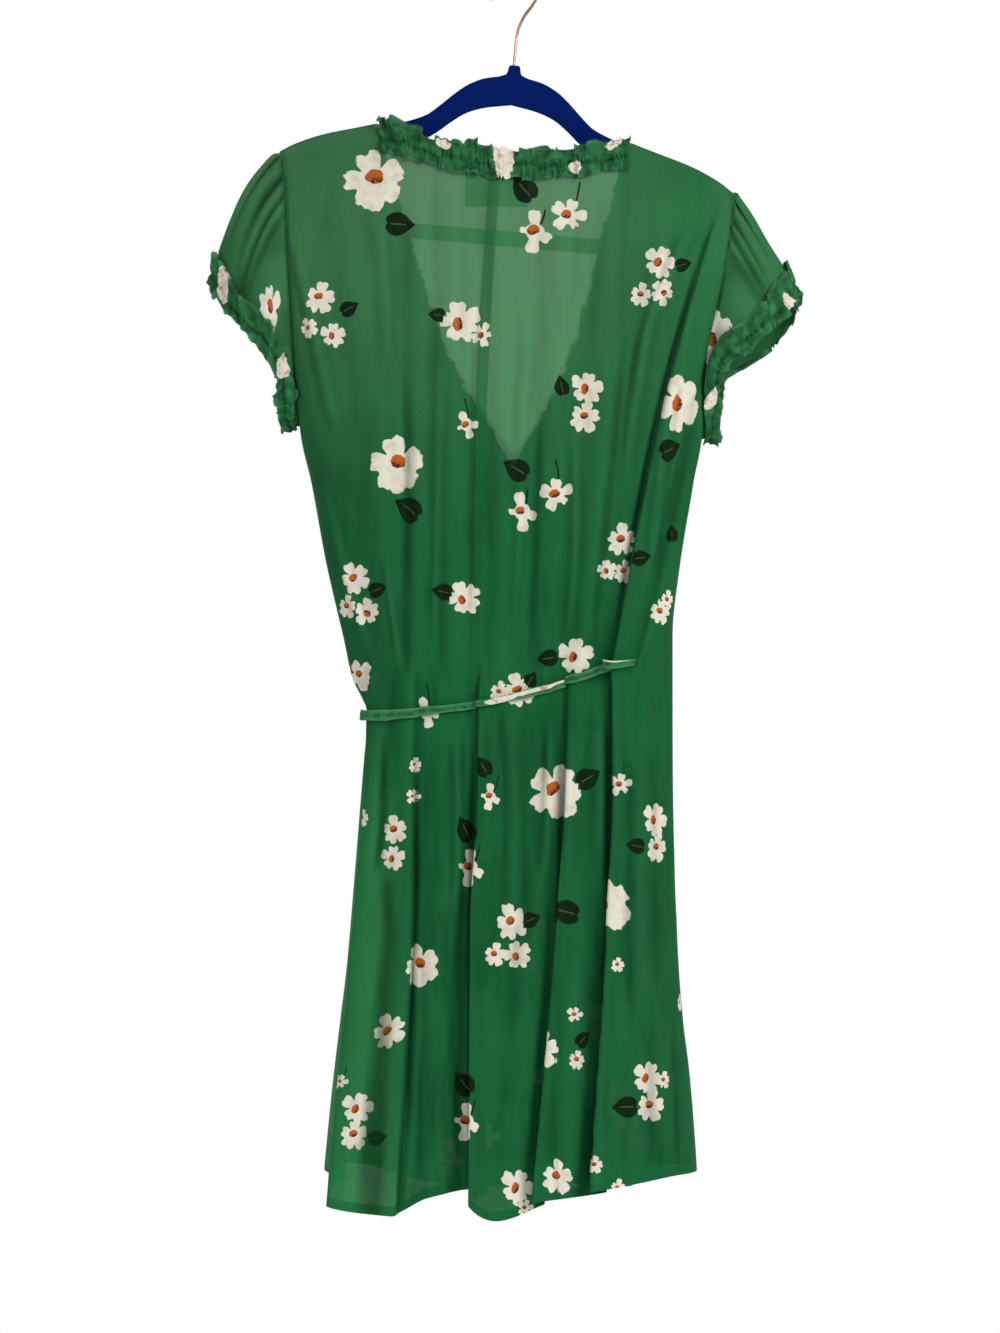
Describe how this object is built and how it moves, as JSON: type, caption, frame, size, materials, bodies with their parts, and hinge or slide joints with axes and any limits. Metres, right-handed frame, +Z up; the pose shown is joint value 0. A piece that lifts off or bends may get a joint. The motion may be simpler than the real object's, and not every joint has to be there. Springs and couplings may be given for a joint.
{
  "type": "wrap dress on a clothes hanger",
  "caption": "short wrap dress of sheer flowered cloth with puffed cap sleeves, ruffled neck and cuffs and a tied waist, hung on a flocked hanger with a wire hook",
  "frame": {"origin": "where the inside of the hook's top bears on the rod that holds it", "axes": "+Z up, +Y to the dress's wrapped front, +X to the wearer's right"},
  "size_m": [0.5203, 0.1568, 1.0785],
  "materials": {
    "printed_cloth": "thin crinkled green chiffon with a scattered print of cream flowers and dark leaves",
    "ruffle_cloth": "the same chiffon, gathered, with raw frayed edges",
    "tie_cloth": "the same chiffon, turned and pressed into a narrow tie",
    "label_cloth": "plain woven tape, blank",
    "flocked_hanger": "navy velvet flocking over moulded plastic",
    "plated_wire": "polished steel wire with a rose copper plating"
  },
  "bodies": {
    "root": {"hanger_body": "flocked_hanger", "hanger_hook": "plated_wire", "bodice_back_left": "printed_cloth", "bodice_back_right": "printed_cloth", "bodice_front_left": "printed_cloth", "bodice_front_right": "printed_cloth", "skirt_back_side_left": "printed_cloth", "skirt_back_centre_left": "printed_cloth", "skirt_back_centre_right": "printed_cloth", "skirt_back_side_right": "printed_cloth", "skirt_front_left": "printed_cloth", "skirt_front_right": "printed_cloth", "sleeve_left": "printed_cloth", "sleeve_right": "printed_cloth", "cuff_ruffle_left": "ruffle_cloth", "cuff_ruffle_right": "ruffle_cloth", "neck_ruffle_back": "ruffle_cloth", "neck_ruffle_left": "ruffle_cloth", "neck_ruffle_right": "ruffle_cloth", "waist_tie_long": "tie_cloth", "waist_tie_short": "tie_cloth", "tie_knot": "tie_cloth", "tie_tail_long": "tie_cloth", "tie_tail_short": "tie_cloth", "neck_label": "label_cloth"}
  },
  "joints": []
}
